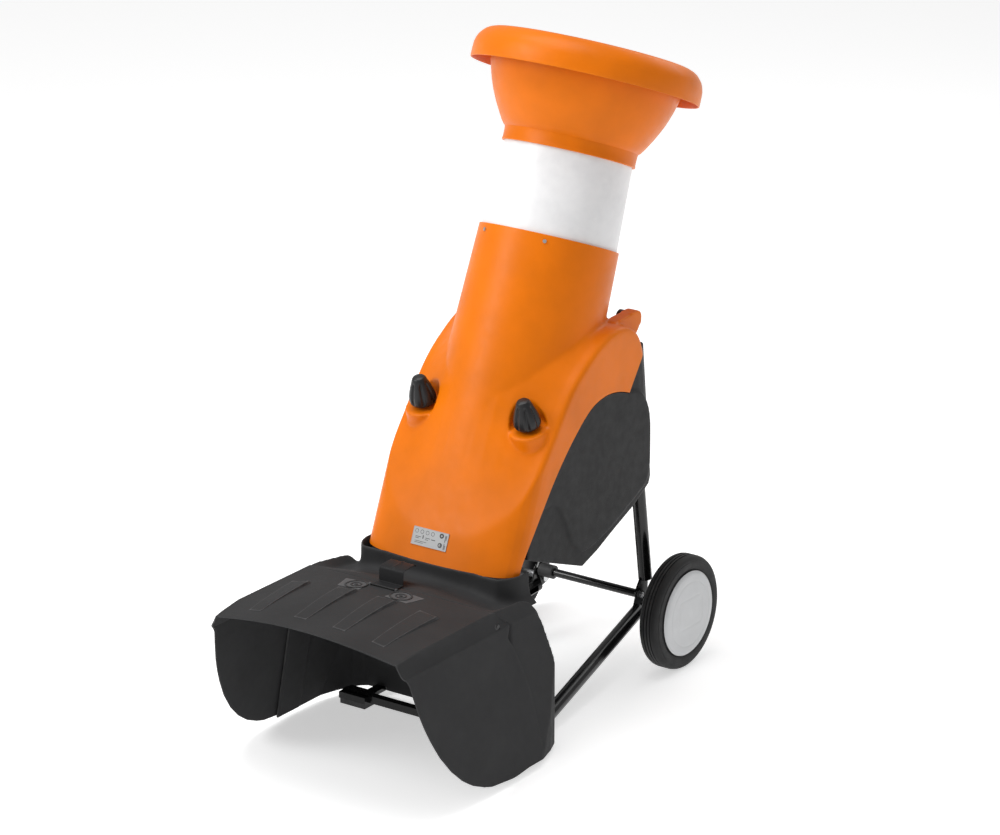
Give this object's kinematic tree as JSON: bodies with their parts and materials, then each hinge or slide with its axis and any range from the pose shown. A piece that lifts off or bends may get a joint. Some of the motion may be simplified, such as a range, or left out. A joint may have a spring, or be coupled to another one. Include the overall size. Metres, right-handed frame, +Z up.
{
  "type": "garden wood chipper",
  "caption": "Wheeled electric garden wood chipper: a leaning feed tower with a round hopper over a tilted cutting disc, with a folding discharge chute in front.",
  "frame": {"origin": "middle of the bounding box's footprint, on the floor the machine stands on", "axes": "+Z up, +X to the machine's right, -Y to its front, where the discharge chute opens"},
  "size_m": [0.5862, 1.2217, 1.4106],
  "materials": {
    "black_plastic": "moulded, fine grain",
    "grey_plastic": "moulded, fine grain",
    "orange_plastic": "satin moulded",
    "white_plastic": "satin moulded",
    "knob_plastic": "satin moulded",
    "black_paint": "gloss powder coat",
    "rubber": "moulded",
    "tyre": "moulded tread",
    "rim_plastic": "moulded",
    "bright_steel": "zinc plated",
    "knife_steel": "ground",
    "brass": "turned",
    "cast_alloy": "die cast",
    "lamination": "stacked sheet",
    "copper": "enamelled wire",
    "silver_label": "printed foil",
    "green_plastic": "satin moulded",
    "red_plastic": "satin moulded"
  },
  "bodies": {
    "chassis": {"chute_housing": "black_plastic", "foot_bar": "black_paint", "foot_pads": "rubber", "side_tube_left": "black_paint", "side_tube_right": "black_paint", "leg_tube_left": "black_paint", "leg_tube_right": "black_paint", "cross_tube": "black_paint", "tube_sleeve": "black_plastic", "stub_axle_left": "bright_steel", "stub_axle_right": "bright_steel", "frame_bolts": "bright_steel", "axle_clips": "bright_steel", "motor_cover": "grey_plastic", "base_housing": "black_plastic", "hinge_brackets": "black_plastic", "hinge_pins": "bright_steel", "flap_pins": "bright_steel", "knob_bushes": "brass", "motor_case": "cast_alloy", "stator_core": "lamination", "stator_windings": "copper", "upper_end_shield": "cast_alloy", "lower_end_shield": "cast_alloy", "upper_bearing": "bright_steel", "lower_bearing": "bright_steel", "run_capacitor": "cast_alloy", "switch_box": "black_plastic", "mains_inlet": "black_plastic", "cover_screws": "bright_steel"},
    "feed_tower": {"hood": "orange_plastic", "feed_tube": "white_plastic", "hopper": "orange_plastic", "feed_funnel": "black_plastic", "tube_screws": "bright_steel", "rating_plate": "silver_label"},
    "knob_l": {"knob_left": "knob_plastic", "stud_left": "bright_steel"},
    "knob_r": {"knob_right": "knob_plastic", "stud_right": "bright_steel"},
    "flap": {"chute_flap": "black_plastic"},
    "clip": {"flap_clip": "black_paint"},
    "wheel_l": {"tyre_left": "tyre", "rim_left": "rim_plastic", "cap_left": "white_plastic"},
    "wheel_r": {"tyre_right": "tyre", "rim_right": "rim_plastic", "cap_right": "white_plastic"},
    "rotor": {"rotor_shaft": "bright_steel", "rotor_core": "lamination", "cutter_disc": "knife_steel", "chipper_knives": "knife_steel", "wing_knife": "knife_steel", "disc_bolt": "bright_steel", "blower_wheel": "black_paint", "cooling_fan": "black_plastic"},
    "start": {"start_button": "green_plastic"},
    "stop": {"stop_button": "red_plastic"},
    "reset": {"reset_button": "black_plastic"}
  },
  "joints": [
    {"name": "tower_hinge", "type": "hinge", "parent": "chassis", "child": "feed_tower", "pos_m": [0, 0.34112, 0.78521], "axis": [-1, 0, 0], "range_deg": [0, 75]},
    {"name": "knob_left_turn", "type": "hinge", "parent": "feed_tower", "child": "knob_l", "pos_m": [-0.131, -0.01713, 0.64259], "axis": [0, -0.284, 0.9588], "continuous": true},
    {"name": "knob_right_turn", "type": "hinge", "parent": "feed_tower", "child": "knob_r", "pos_m": [0.131, -0.01713, 0.64259], "axis": [0, -0.284, 0.9588], "continuous": true},
    {"name": "flap_hinge", "type": "hinge", "parent": "chassis", "child": "flap", "pos_m": [0, -0.274, 0.319], "axis": [-1, 0, 0], "range_deg": [0, 50]},
    {"name": "clip_lift", "type": "hinge", "parent": "flap", "child": "clip", "pos_m": [0, -0.338, 0.3718], "axis": [1, 0, 0], "range_deg": [0, 10], "stiffness_Nm_per_rad": 2},
    {"name": "wheel_left_turn", "type": "hinge", "parent": "chassis", "child": "wheel_l", "pos_m": [-0.223, 0.414, 0.125], "axis": [1, 0, 0], "continuous": true},
    {"name": "wheel_right_turn", "type": "hinge", "parent": "chassis", "child": "wheel_r", "pos_m": [0.223, 0.414, 0.125], "axis": [1, 0, 0], "continuous": true},
    {"name": "rotor_turn", "type": "hinge", "parent": "chassis", "child": "rotor", "pos_m": [0, 0.09, 0.545], "axis": [0, -0.284, 0.9588], "continuous": true},
    {"name": "start_press", "type": "slide", "parent": "chassis", "child": "start", "axis": [0, -1, 0], "range_m": [0, 0.003], "stiffness_N_per_m": 600},
    {"name": "stop_press", "type": "slide", "parent": "chassis", "child": "stop", "axis": [0, -1, 0], "range_m": [0, 0.003], "stiffness_N_per_m": 600},
    {"name": "reset_press", "type": "slide", "parent": "chassis", "child": "reset", "axis": [0, -1, 0], "range_m": [0, 0.003], "stiffness_N_per_m": 600}
  ]
}
